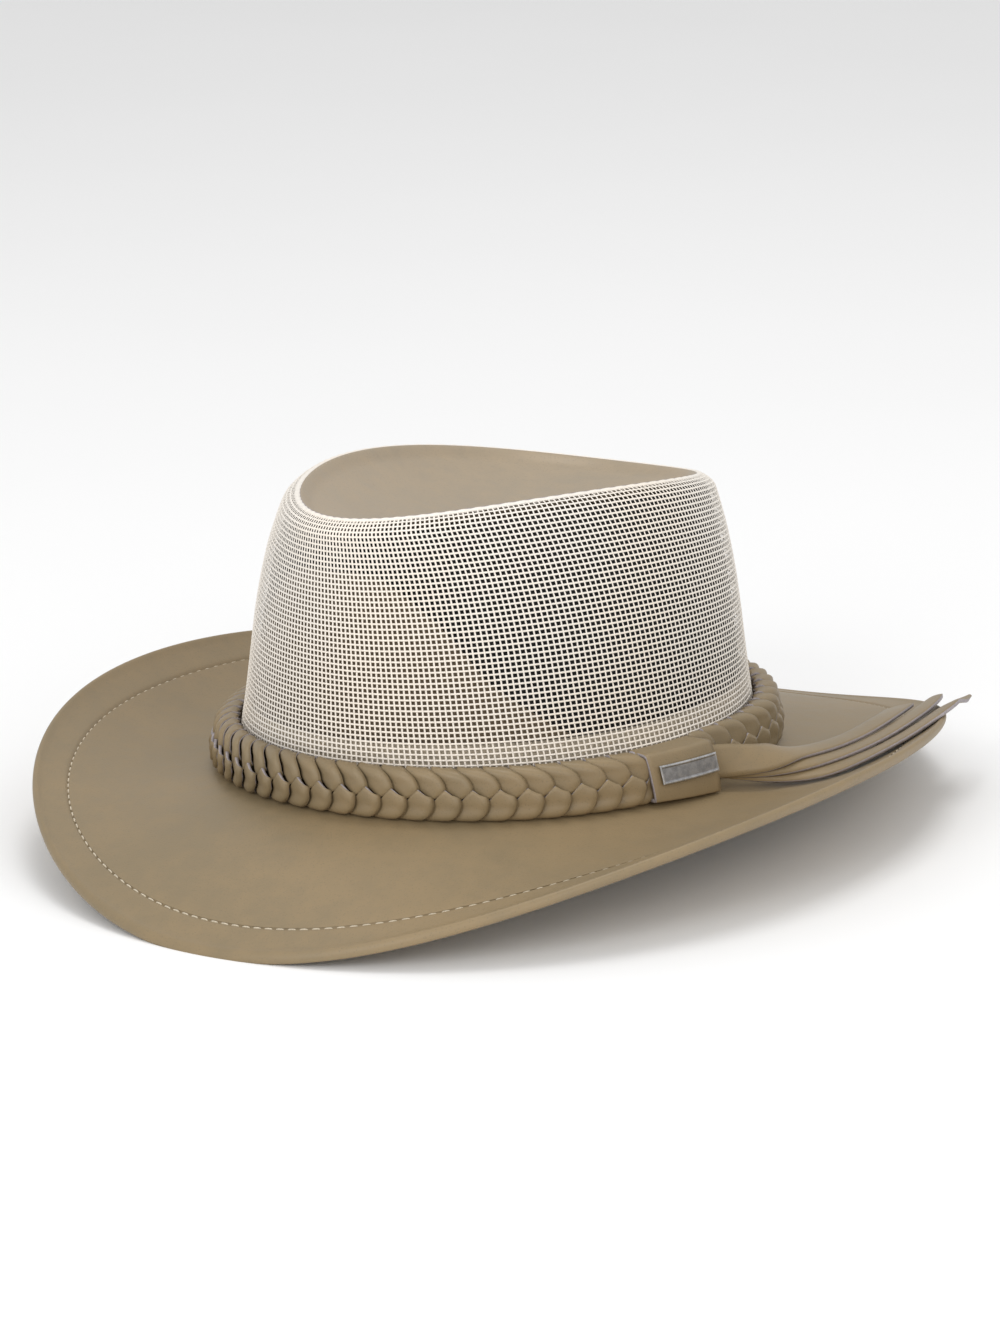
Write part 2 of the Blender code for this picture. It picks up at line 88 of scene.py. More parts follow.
class FinishTree:
    """The nodes of one material, from its Principled shader back."""

    def __init__(self, name: str) -> None:
        """Start a material with its shader and its object coordinates."""
        self.material = bpy.data.materials.new(name)
        self.material.use_nodes = True
        self.nodes = self.material.node_tree.nodes
        self.shader = self.nodes["Principled BSDF"]
        self.place = Shade(self, self.node("ShaderNodeTexCoord", {}, {}).outputs["Object"])

    def node(self, kind: str, settings: dict, sockets: dict) -> bpy.types.Node:
        """Add a node with its settings, then feed values or Shades to its inputs."""
        made = self.nodes.new(kind)
        for key, value in settings.items():
            setattr(made, key, value)
        for key, value in sockets.items():
            self.feed(made.inputs[key], value)
        return made

    def feed(self, socket: bpy.types.NodeSocket, value: object) -> None:
        """Link a Shade to an input, or set the input's own value."""
        if isinstance(value, Shade):
            self.material.node_tree.links.new(value.socket, socket)
        else:
            socket.default_value = value

    def maths(self, operation: str, first: "Shade | float", second: "Shade | float") -> Shade:
        """Math node on two values."""
        made = self.node("ShaderNodeMath", {"operation": operation}, {0: first, 1: second})
        return Shade(self, made.outputs[0])

    def noise(self, scale: float, detail: float = 3.0, roughness: float = 0.5) -> Shade:
        """Noise of a scale in cycles a metre, from 0 to 1."""
        made = self.node("ShaderNodeTexNoise", {}, {
            "Vector": self.place, "Scale": scale, "Detail": detail, "Roughness": roughness})
        return Shade(self, made.outputs["Fac"])

    def cells(self, scale: float) -> Shade:
        """Distance to the nearest cell centre of a leather-like grain."""
        made = self.node("ShaderNodeTexVoronoi", {"feature": "F1"}, {
            "Vector": self.place, "Scale": scale})
        return Shade(self, made.outputs["Distance"])

    def mix(self, share: Shade, low: "Shade | Colour", high: "Shade | Colour") -> Shade:
        """Colour between two colours at a share."""
        made = self.node("ShaderNodeMix", {"data_type": "RGBA"}, {"Factor": share})
        for socket, value in ((made.inputs[6], low), (made.inputs[7], high)):
            self.feed(socket, value if isinstance(value, Shade) else (*value, 1.0))
        return Shade(self, made.outputs[2])

    def relief(self, height: Shade, depth: float, strength: float) -> None:
        """Bump of a depth in metres, on the shader's normal."""
        made = self.node("ShaderNodeBump", {}, {
            "Height": height, "Distance": depth, "Strength": strength})
        self.feed(self.shader.inputs["Normal"], Shade(self, made.outputs["Normal"]))

    def finish(self, colour: "Shade | Colour", roughness: "Shade | float",
               metallic: "Shade | float" = 0.0, **constants: float) -> bpy.types.Material:
        """Set the shader's inputs, with others by name and _ for a space, and hand it over."""
        plain = colour if isinstance(colour, Shade) else (*colour, 1.0)
        self.feed(self.shader.inputs["Base Color"], plain)
        self.feed(self.shader.inputs["Roughness"], roughness)
        self.feed(self.shader.inputs["Metallic"], metallic)
        for key, value in constants.items():
            self.shader.inputs[key.replace("_", " ")].default_value = value
        return self.material


def tinted(colour: Colour, factor: float) -> Colour:
    """A colour made lighter or darker by a factor."""
    return tuple(min(channel * factor, 1.0) for channel in colour)


@dataclass(frozen=True)
class Leather:
    """Smooth satin leather with a fine grain and a soft mottle."""

    name: str
    colour: Colour
    roughness: float = 0.47
    grain: float = 900.0
    spread: float = 0.14
    warmth: Colour = (1.04, 0.99, 0.93)
    pale: float = 1.08
    deep: float = 0.92
    pore: float = 0.86
    depth: float = 0.00012

    def material(self) -> bpy.types.Material:
        """Build the finish."""
        tree = FinishTree(self.name)
        fine = tree.noise(140.0, 4.0, 0.6)
        pores = tree.cells(self.grain)
        share = tree.noise(16.0, 2.0) * 0.6 + fine * 0.4
        warm = tuple(channel * gain for channel, gain in zip(self.colour, self.warmth))
        colour = tree.mix(share.between(), tinted(self.colour, self.deep),
                          tinted(warm, self.pale))
        colour = tree.mix(pores.between(0.0, 0.35), tinted(self.colour, self.pore), colour)
        tree.relief(pores.between(0.05, 0.5) * 0.7 + fine * 0.5, self.depth, 0.35)
        return tree.finish(colour, fine * self.spread + (self.roughness - self.spread / 2),
                           Specular_IOR_Level=0.42)


@dataclass(frozen=True)
class CutEdge:
    """Cut edge of the leather, greyer than its face."""

    name: str
    colour: Colour
    fibres: float = 1400.0
    depth: float = 0.0001

    def material(self) -> bpy.types.Material:
        """Build the finish."""
        tree = FinishTree(self.name)
        fibre = tree.noise(self.fibres, 3.0, 0.7)
        colour = tree.mix(fibre.between(), tinted(self.colour, 0.8), tinted(self.colour, 1.2))
        tree.relief(fibre, self.depth, 0.5)
        return tree.finish(colour, 0.7)


@dataclass(frozen=True)
class CoatedThread:
    """Coated yarn of the mesh: pale, satin and slightly uneven."""

    name: str
    colour: Colour
    warm: Colour
    specks: float = 900.0
    depth: float = 0.00006

    def material(self) -> bpy.types.Material:
        """Build the finish."""
        tree = FinishTree(self.name)
        speck = tree.noise(self.specks, 2.0)
        colour = tree.mix(tree.noise(11.0, 2.0).between(0.35, 0.65), self.colour, self.warm)
        tree.relief(speck, self.depth, 0.4)
        return tree.finish(colour, speck * 0.15 + 0.38, Specular_IOR_Level=0.5)


@dataclass(frozen=True)
class Cloth:
    """Plain woven or looped cloth."""

    name: str
    colour: Colour
    pitch: float
    depth: float
    sheen: float = 0.2

    def material(self) -> bpy.types.Material:
        """Build the finish."""
        tree = FinishTree(self.name)
        loops = tree.cells(1.0 / self.pitch)
        colour = tree.mix(loops.between(0.1, 0.8), tinted(self.colour, 1.12),
                          tinted(self.colour, 0.75))
        drift = tree.noise(30.0).between() * 0.5
        colour = tree.mix(drift, colour, tinted(self.colour, 0.9))
        tree.relief(1 - loops, self.depth, 0.7)
        return tree.finish(colour, 0.9, Sheen_Weight=self.sheen)


@dataclass(frozen=True)
class AntiqueMetal:
    """Worn silver-grey metal with dark patina in its low places."""

    name: str
    bright: Colour
    dark: Colour
    blotches: float = 420.0
    scratches: float = 2600.0
    depth: float = 0.00005

    def material(self) -> bpy.types.Material:
        """Build the finish."""
        tree = FinishTree(self.name)
        blotch = tree.noise(self.blotches, 4.0, 0.65)
        scratch = tree.noise(self.scratches, 2.0, 0.6)
        share = (blotch * 0.75 + scratch * 0.25).between(0.36, 0.62)
        tree.relief(scratch * 0.5 + blotch * 0.5, self.depth, 0.5)
        return tree.finish(tree.mix(share, self.dark, self.bright), 0.52 - share * 0.2, 0.9)


@dataclass(frozen=True)
class Paper:
    """Pale floor of the studio."""

    name: str
    colour: Colour

    def material(self) -> bpy.types.Material:
        """Build the finish."""
        tree = FinishTree(self.name)
        drift = tree.noise(3.0, 2.0).between()
        return tree.finish(tree.mix(drift, tinted(self.colour, 0.99), self.colour), 0.9)


class Finishes:
    """Every material of the hat and its studio."""

    TAN: Colour = (0.248, 0.189, 0.108)

    def __init__(self) -> None:
        """Make the materials once."""
        self.leather = Leather("leather", self.TAN).material()
        # The tip's leather is lighter and greyer than the brim's: painted sheen from the light
        # above.
        self.tip = Leather("tip_leather_painted_sheen", (0.345, 0.283, 0.202), 0.40).material()
        self.tab = Leather("tab_leather", tinted(self.TAN, 0.98), 0.44, 1100.0).material()
        # The strands behind the braid wear the tan darkened to 0.40: painted shade in the gaps
        # between the tabs.
        self.core = Leather("core_leather_painted_shade", tinted(self.TAN, 0.40), 0.7).material()
        self.edge = CutEdge("cut_edge", (0.34, 0.305, 0.31)).material()
        self.thread = CoatedThread("coated_thread", (0.86, 0.81, 0.74),
                                   (0.89, 0.81, 0.71)).material()
        self.stitch = Cloth("stitch_thread", (0.66, 0.57, 0.43), 0.0004, 0.00008).material()
        self.towel = Cloth("sweatband_towel", (0.50, 0.435, 0.34), 0.0011, 0.0003).material()
        self.panel = Cloth("panel_cloth", (0.165, 0.125, 0.080), 0.0006, 0.0001).material()
        # Near-black inner sheet of the crown: painted shade, seen through the mesh's holes.
        self.painted_shade_lining = Cloth("lining_painted_shade", (0.010, 0.0095, 0.009), 0.0005, 0.0001,
                            0.0).material()
        self.metal = AntiqueMetal("antique_metal", (0.62, 0.62, 0.63),
                                  (0.36, 0.36, 0.36)).material()
        self.patina = AntiqueMetal("antique_patina", (0.42, 0.42, 0.43),
                                   (0.27, 0.27, 0.275)).material()
        self.floor = Paper("studio_paper", (0.95, 0.95, 0.95)).material()


# Surfaces of the hat


class CrownRow(NamedTuple):
    """Level of the crown's wall: shares of the path, of the height and lean, and over the top."""

    share: float
    height: float
    lean: float
    tuck: float


class RouteRow(NamedTuple):
    """Station of the loose strips' route."""

    turn: float
    across: float
    lift: float
    stack: float
    roll: float
    fan: float


class SectionRow(NamedTuple):
    """Corner of a section: shares outwards and upwards."""

    out: float
    up: float


class BrimRow(NamedTuple):
    """Corner of the brim's section."""

    across: float
    hem: float
    rise: float


class TabRow(NamedTuple):
    """Line across a braided tab, from its fold to its cut end.

    left and right are links along the band, left_up and right_up shares of its height,
    left_out and right_out shares of how proud it stands, and point is the dip of the middle.
    """

    left: float
    right: float
    left_up: float
    right_up: float
    left_out: float
    right_out: float
    point: float


def table_of(kind: type, *plain: tuple) -> tuple:
    """Table of rows of one kind, from plain tuples."""
    return tuple(kind(*row) for row in plain)


def smooth_row(table: Sequence[NamedTuple], place: float, closed: bool = False) -> NamedTuple:
    """Row so many rows along, on a smooth curve through a table that may lead round."""
    count = len(table)
    if not closed:
        place = min(max(place, 0.0), count - 1.0)
    index = int(floor(place)) if closed else min(int(floor(place)), count - 2)
    step = place - index
    near = [table[(index + offset) % count if closed else min(max(index + offset, 0), count - 1)]
            for offset in (-1, 0, 1, 2)]
    values = []
    for before, low, high, after in zip(*near):
        pull_low, pull_high = (high - before) / 2, (after - low) / 2
        values.append(low + step * (pull_low + step * (
            3 * (high - low) - 2 * pull_low - pull_high
            + step * (2 * (low - high) + pull_low + pull_high))))
    return type(table[0])(*values)


def row_place(table: Sequence[NamedTuple], value: float) -> float:
    """Place in a table, in rows, where its first column has a value."""
    for index, (low, high) in enumerate(zip(table, table[1:])):
        if value <= high[0]:
            return index + (value - low[0]) / (high[0] - low[0])
    return len(table) - 1.0


def signed_degrees(turn: float) -> float:
    """Turn in degrees from -180 to 180."""
    return (degrees(turn) + 180) % 360 - 180


def eased(share: float) -> float:
    """Share with a smooth start and end, held within 0 and 1."""
    share = min(max(share, 0.0), 1.0)
    return share * share * (3 - 2 * share)


@dataclass(frozen=True)
class HatForm:
    """The hat's surfaces, with the part's own sizes."""

    gap: float = 0.0003
    soft_gap: float = 0.0004
    head_half_width: float = 0.0865
    head_half_length: float = 0.1083
    set_back: float = 0.0022
    brim_half_width: float = 0.1518
    brim_half_length: float = 0.1840
    brim_thickness: float = 0.0024
    hem_width: float = 0.0125
    break_level: float = 0.0279
    break_dip: float = 0.0022
    back_drop: float = 0.0095
    back_power: int = 3
    edge_level: float = 0.0202
    edge_curl: float = 0.0188
    edge_lift: float = 0.0008
    edge_sweep: float = 0.0008
    edge_flatten: float = 0.0014
    side_sag: float = 0.0085
    end_sag: float = -0.0035
    back_sag: float = 0.0030
    seam_half_width: float = 0.0557
    seam_half_length: float = 0.0956
    seam_forward: float = 0.0058
    seam_narrowing: float = 0.23
    seam_level: float = 0.1220
    seam_slope: float = 0.0097
    seam_saddle: float = 0.0035
    shoulder_out: float = 0.0070
    shoulder_drop: float = 0.0040
    shoulder_bulge: float = 0.30
    mesh_thickness: float = 0.0014
    mesh_depth: float = 0.0034
    tip_dish: float = 0.0150
    tip_bowl: float = 2.2
    band_height: float = 0.0162
    band_proud: float = 0.0082
    seam_share: float = 0.3
    wall: tuple[CrownRow, ...] = table_of(
        CrownRow, (0.00, 0.00, 0.00, 0.0), (0.14, 0.15, 0.13, 0.0), (0.27, 0.30, 0.25, 0.0),
        (0.54, 0.60, 0.46, 0.0), (0.73, 0.80, 0.67, 0.0), (0.85, 0.93, 0.87, 0.0),
        (0.92, 1.00, 1.00, 0.0), (0.96, 1.00, 1.00, 0.4), (1.00, 1.00, 1.00, 1.0))

    def base_point(self, turn: float, outside: float = 0.0, height: float = 0.0) -> Vector:
        """Point at a distance outside the base oval, square to it."""
        across = Vector((self.head_half_width * cos(turn), self.head_half_length * sin(turn), 0))
        return across + self.outward(turn) * outside + Vector((0, self.set_back, height))

    def outward(self, turn: float) -> Vector:
        """Direction straight out of the base oval."""
        return Vector((cos(turn) / self.head_half_width, sin(turn) / self.head_half_length,
                       0)).normalized()

    def edge_height(self, turn: float) -> float:
        """Height of the middle of the brim's edge."""
        return (self.edge_level + self.edge_curl * cos(2 * turn) - self.edge_lift * sin(turn)
                - self.edge_sweep * sin(3 * turn) - self.edge_flatten * cos(4 * turn))

    def backward(self, turn: float) -> float:
        """Share of the way to the back of the hat, nearly all of it behind the middle."""
        return ((1 + sin(turn)) / 2) ** self.back_power

    def break_height(self, turn: float) -> float:
        """Height of the brim's upper face where it meets the crown."""
        return (self.break_level - self.break_dip * cos(2 * turn)
                - self.back_drop * self.backward(turn))

    def brim_point(self, turn: float, across: float, rise: float = 0.0) -> Vector:
        """Point across the brim, 0 at the base oval and 1 at the edge, above its middle."""
        edge = Vector((self.brim_half_width * cos(turn), self.brim_half_length * sin(turn), 0))
        place = self.base_point(turn).lerp(edge, across)
        inner = min(across, 1.0)
        side, end = self.side_sag, self.end_sag
        sag = ((side + end) / 2 + (side - end) / 2 * cos(2 * turn)
               + self.back_sag * self.backward(turn))
        middle = self.break_height(turn) - self.brim_thickness / 2
        height = middle + (self.edge_height(turn) - middle) * inner
        place.z = height - 4 * sag * inner * (1 - inner) + rise
        return place

    def brim_width(self, turn: float) -> float:
        """Distance from the base oval to the edge, seen from above."""
        across = self.brim_point(turn, 1.0) - self.brim_point(turn, 0.0)
        return hypot(across.x, across.y)

    def brim_top(self, turn: float, outside: float) -> float:
        """Height of the brim's upper face at a distance outside the base oval."""
        across = max(outside, 0.0) / self.brim_width(turn)
        return self.brim_point(turn, across, self.brim_thickness / 2).z

    def seam_point(self, turn: float) -> Vector:
        """Point on the seam between the mesh and the leather tip."""
        return Vector((
            self.seam_half_width * cos(turn) * (1 + self.seam_narrowing * sin(turn)),
            self.set_back - self.seam_forward + self.seam_half_length * sin(turn),
            self.seam_level - self.seam_slope * sin(turn) + self.seam_saddle * cos(2 * turn)))

    def shoulder_point(self, turn: float) -> Vector:
        """Point on the crown's shoulder."""
        return self.seam_point(turn) + Vector((
            self.shoulder_out * cos(turn), self.shoulder_out * sin(turn), -self.shoulder_drop))

    def crown_point(self, turn: float, share: float, inset: float = 0.0) -> Vector:
        """Point up the crown's wall and over its shoulder, at a share of the path to the seam."""
        row = smooth_row(self.wall, row_place(self.wall, share))
        level = Vector((cos(turn), sin(turn), 0)) * inset
        base = self.base_point(turn, -inset, self.break_height(turn))
        top = self.shoulder_point(turn) - level
        place = base.lerp(top, min(row.lean, 1.0))
        place.z = base.z + (top.z - base.z) * min(row.height, 1.0)
        tuck = min(max(row.tuck, 0.0), 1.0)
        place = place.lerp(self.seam_point(turn) - level * self.seam_share, tuck)
        place.z += self.shoulder_drop * self.shoulder_bulge * 4 * tuck * (1 - tuck) - inset * tuck
        return place

    def wall_at(self, turn: float, level: float, inset: float = 0.0) -> Vector:
        """Point on the crown's wall at a height above the brim's top."""
        foot = self.break_height(turn)
        total = self.shoulder_point(turn).z - foot
        upright = [row for row in self.wall if row.tuck == 0]
        height, lean = level / total, 0.0
        for low, high in zip(upright, upright[1:]):
            if low.height <= height:
                share = (height - low.height) / (high.height - low.height)
                lean = low.lean + (high.lean - low.lean) * min(share, 1.0)
        base = self.base_point(turn, -inset, foot)
        top = self.shoulder_point(turn) - Vector((cos(turn), sin(turn), 0)) * inset
        place = base.lerp(top, lean)
        place.z = foot + level
        return place

    def band_point(self, turn: float, out: float, level: float) -> Vector:
        """Point out from the crown's wall, at a height above the brim's top."""
        return self.wall_at(turn, level) + self.outward(turn) * out


FORM = HatForm()


# Making pieces


def add_grid(form: Form, place: Place, along: int,
             across: int) -> dict[bmesh.types.BMVert, tuple[float, float]]:
    """Add a grid of faces, bent by its shares of 0 to 1 each way, and return those."""
    grid = bmesh.ops.create_grid(form, x_segments=along, y_segments=across, size=0.5)
    shares = {vert: (vert.co.x + 0.5, vert.co.y + 0.5) for vert in grid["verts"]}
    for vert, share in shares.items():
        vert.co = place(*share)
    return shares


def bent_grid(place: Place, along: int, across: int) -> Form:
    """New mesh of one bent grid."""
    form = bmesh.new()
    add_grid(form, place, along, across)
    return form


def add_item(name: str, data: bpy.types.ID) -> bpy.types.Object:
    """New object in the scene."""
    item = bpy.data.objects.new(name, data)
    bpy.context.collection.objects.link(item)
    return item


def mesh_item(name: str, form: Form, materials: Sequence[bpy.types.Material]) -> bpy.types.Object:
    """New object of a mesh, which is used up."""
    mesh = bpy.data.meshes.new(name)
    form.to_mesh(mesh)
    form.free()
    for material in materials:
        mesh.materials.append(material)
    return add_item(name, mesh)


@dataclass
class PieceMaker:
    """Turns meshes into finished pieces of the hat."""

    finishes: Finishes

    def piece(self, name: str, form: Form, materials: Sequence[bpy.types.Material], slot: str,
              replaces: Sequence[str] = (), weld: float = 0.00001, wall: float = 0.0,
              offset: float = -1.0, closed: bool = False,
              smooth: float = 40.0) -> bpy.types.Object:
        """Finish a mesh as a piece that rides on the hat.

        Args:
            name: the piece's name.
            form: its mesh, which is used up.
            materials: one for its faces, then one for a sheet's edge.
            slot: the record's slot that it is in; not used.
            replaces: the part's nodes that it stands for.
            weld: distance within which vertices merge.
            wall: thickness of a sheet.
            offset: side that the thickness goes to.
            closed: whether it is a closed body.
            smooth: degrees above which an edge stays sharp.
        """
        if weld:
            bmesh.ops.remove_doubles(form, verts=form.verts, dist=weld)
        if closed:
            bmesh.ops.recalc_face_normals(form, faces=form.faces)
        item = mesh_item(name, form, materials)
        item.data.shade_smooth()
        item.data.set_sharp_from_angle(angle=radians(smooth))
        if wall:
            solidify = item.modifiers.new("wall", "SOLIDIFY")
            solidify.thickness = wall
            solidify.offset = offset
            solidify.use_even_offset = True
            solidify.material_offset_rim = len(materials) - 1
        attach(item, BODY)
        if replaces:
            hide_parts(*replaces)
        LOG.info("%s: %d faces", name, len(item.data.polygons))
        return item


@dataclass
class Brim:
    """Leather brim with its rolled hem and stitches."""

    maker: PieceMaker
    steps: int = 240
    rows_between: int = 4
    stitches: int = 216
    stitch_length: float = 0.0034
    stitch_radius: float = 0.00034
    stitch_sink: float = 1.2
    stitch_steps: int = 6
    groove: BrimRow = BrimRow(1.0, 0.0, 0.34)
    section: tuple[BrimRow, ...] = table_of(
        BrimRow, (0.00, 0.00, 0.50), (0.22, 0.00, 0.50), (0.46, 0.00, 0.50), (0.71, 0.00, 0.50),
        (0.97, 0.00, 0.50), (0.992, 0.00, 0.44), (1.00, 0.00, 0.22), (1.00, 0.05, 0.46),
        (1.00, 0.14, 0.60), (1.00, 0.45, 0.60), (1.00, 0.72, 0.66), (1.00, 0.90, 0.82),
        (1.00, 1.00, 0.20), (1.00, 0.97, -0.55), (1.00, 0.82, -0.88), (1.00, 0.60, -0.60),
        (1.00, 0.05, -0.52), (1.00, 0.00, -0.36), (0.99, 0.00, -0.50), (0.66, 0.00, -0.50),
        (0.33, 0.00, -0.50), (0.00, 0.00, -0.50))

    def point(self, turn: float, row: BrimRow) -> Vector:
        """Point of the brim's section."""
        width = FORM.brim_width(turn)
        hem_line, start = 1 - FORM.hem_width / width, FORM.gap / width
        across = start + (hem_line - start) * row.across + FORM.hem_width / width * row.hem
        place = FORM.brim_point(turn, across, row.rise * FORM.brim_thickness)
        place.z = max(place.z, 0.0)
        return place

    def build(self) -> None:
        """Build the brim and its stitches."""
        count = len(self.section)

        def place(along: float, section: float) -> Vector:
            row = smooth_row(self.section, section * count, closed=True)
            return self.point(along * tau, row)
        form = bent_grid(place, self.steps, count * self.rows_between)
        brim = self.maker.piece("brim_leather", form, [self.maker.finishes.leather],
                                "tan_leather", ["brim"], closed=True, smooth=60.0)
        self.build_stitches()

    def build_stitches(self) -> bpy.types.Object:
        """Lay the stitches in the groove along the hem."""
        form = bmesh.new()
        spread = tau / self.stitches
        for index in range(self.stitches):
            before, centre, after = (self.point((index + shift) * spread, self.groove)
                                     for shift in (-0.25, 0, 0.25))
            run = (after - before).normalized()
            up = (UP - run * run.z).normalized()
            aside = run.cross(up)

            def place(along: float, around: float) -> Vector:
                end = (2 * along - 1) ** 4
                radius = self.stitch_radius * (1 - end) ** 0.5
                rise = radius * sin(around * tau) - self.stitch_radius * self.stitch_sink * end
                return (centre + run * (along - 0.5) * self.stitch_length + up * rise
                        + aside * radius * cos(around * tau))
            add_grid(form, place, self.stitch_steps, self.stitch_steps)
        return self.maker.piece("hem_stitches", form, [self.maker.finishes.stitch],
                                "tan_leather", closed=True, weld=0.000004, smooth=180.0)


@dataclass
class CrownMesh:
    """Open net of coated threads and its folded edge."""

    maker: PieceMaker
    columns: int = 272
    rows: int = 56
    corners: int = 6
    upright_half: float = 0.00033
    level_half: float = 0.00035
    half_depth: float = 0.00014
    weave: float = 0.00009
    inset: float = 0.0004
    samples: int = 160
    fold_radius: float = 0.0009
    fold_wave: float = 0.14
    fold_width: float = 1.2
    fold_height: float = 0.8
    fold_out: float = 0.0010
    fold_drop: float = 0.0006
    scallops: int = 92
    steps_each: int = 6
    fold_corners: int = 8

    def lattice(self) -> list[list[tuple[Vector, Vector]]]:
        """Crossings of the net with their outward directions, a list for each column."""
        points = [self.column_points(column / self.columns * tau)
                  for column in range(self.columns)]
        grid = []
        for column, line in enumerate(points):
            before, after = points[column - 1], points[(column + 1) % self.columns]
            made = []
            for row, point in enumerate(line):
                rise = line[min(row + 1, self.rows)] - line[max(row - 1, 0)]
                normal = (after[row] - before[row]).cross(rise).normalized()
                made.append((point - normal * self.inset, normal))
            grid.append(made)
        return grid

    def column_points(self, turn: float) -> list[Vector]:
        """Crossings up the wall at a turn, evenly spaced along the cloth."""
        fine = [FORM.crown_point(turn, step / self.samples) for step in range(self.samples + 1)]
        lengths = [0.0]
        for low, high in zip(fine, fine[1:]):
            lengths.append(lengths[-1] + (high - low).length)
        points, index = [], 0
        for row in range(self.rows + 1):
            reach = lengths[-1] * row / self.rows
            while index < self.samples - 1 and lengths[index + 1] < reach:
                index += 1
            share = (reach - lengths[index]) / (lengths[index + 1] - lengths[index])
            points.append(fine[index].lerp(fine[index + 1], min(share, 1.0)))
        return points

    def thread(self, form: Form, stations: list[tuple[Vector, Vector]], half: float,
               phase: int, closed: bool) -> None:
        """Add one flat thread that goes over and under at its stations, by its phase."""
        count = len(stations)
        rings = []
        for index, (point, normal) in enumerate(stations):
            behind, ahead = index - 1, (index + 1) % count
            if not closed:
                behind, ahead = max(behind, 0), min(index + 1, count - 1)
            aside = (stations[ahead][0] - stations[behind][0]).cross(normal).normalized()
            centre = point + normal * self.weave * (1 if (index + phase) % 2 else -1)
            rings.append([
                centre + aside * half * cos(corner * tau / self.corners)
                + normal * self.half_depth * sin(corner * tau / self.corners)
                for corner in range(self.corners)])
        if closed:
            rings.append(rings[0])
        last = len(rings) - 1

        def place(along: float, around: float) -> Vector:
            return rings[round(along * last)][round(around * self.corners) % self.corners]
        add_grid(form, place, last, self.corners)

    def build_net(self) -> None:
        """Weave the net from upright and level threads."""
        grid = self.lattice()
        uprights, levels = bmesh.new(), bmesh.new()
        for column, line in enumerate(grid):
            self.thread(uprights, line, self.upright_half, column, False)
        for row in range(1, self.rows + 1):
            self.thread(levels, [line[row] for line in grid], self.level_half, row + 1, True)
        upright, level = (
            self.maker.piece(name, form, [self.maker.finishes.thread], "coated_mesh",
                             ["crown_mesh"], weld=0.000002, closed=True, smooth=180.0)
            for name, form in (("mesh_uprights", uprights), ("mesh_levels", levels)))
        self.build_fold()

    def build_fold(self) -> bpy.types.Object:
        """Build the folded edge of the net at the seam."""
        def place(along: float, around: float) -> Vector:
            turn = along * tau
            radius = self.fold_radius * (1 + self.fold_wave * sin(self.scallops * turn))
            out = radius * cos(around * tau) * self.fold_width + self.fold_out
            rise = radius * sin(around * tau) * self.fold_height - self.fold_drop
            return FORM.seam_point(turn) + Vector((cos(turn) * out, sin(turn) * out, rise))
        form = bent_grid(place, self.scallops * self.steps_each, self.fold_corners)
        return self.maker.piece("mesh_fold", form, [self.maker.finishes.thread], "coated_mesh",
                                closed=True, smooth=180.0)


@dataclass
class CrownTip:
    """Dished leather tip."""

    maker: PieceMaker
    steps: int = 180
    rings: int = 28
    thickness: float = 0.0014
    lip: float = 0.0018
    lip_width: float = 0.07
    crowding: float = 1.6

    def build(self) -> None:
        """Build the tip with its turned lip along the seam, where the rings crowd."""
        def place(along: float, ring: float) -> Vector:
            turn, inward = along * tau, ring ** self.crowding
            out = 1 - inward
            middle = Vector((0, FORM.set_back - FORM.seam_forward, 0))
            point = FORM.seam_point(turn).lerp(middle, inward)
            lip = self.lip * (1 - eased(inward / self.lip_width))
            point.z = (FORM.seam_level - FORM.seam_slope * sin(turn) * out
                       + FORM.seam_saddle * cos(2 * turn) * out ** 2
                       - FORM.mesh_thickness - FORM.soft_gap + lip
                       - FORM.tip_dish * (1 - out ** FORM.tip_bowl))
            return point
        finishes = self.maker.finishes
        # The tip wears the lighter leather, whose colour paints the sheen of the light above.
        tip = self.maker.piece("tip_leather_painted_sheen", bent_grid(place, self.steps, self.rings),
                               [finishes.tip, finishes.edge], "tan_leather", ["crown_tip"],
                               wall=self.thickness)


class PanelRow(NamedTuple):
    """Point on the panel's upper outline: shares of its half turn and its rise."""

    turn: float
    rise: float


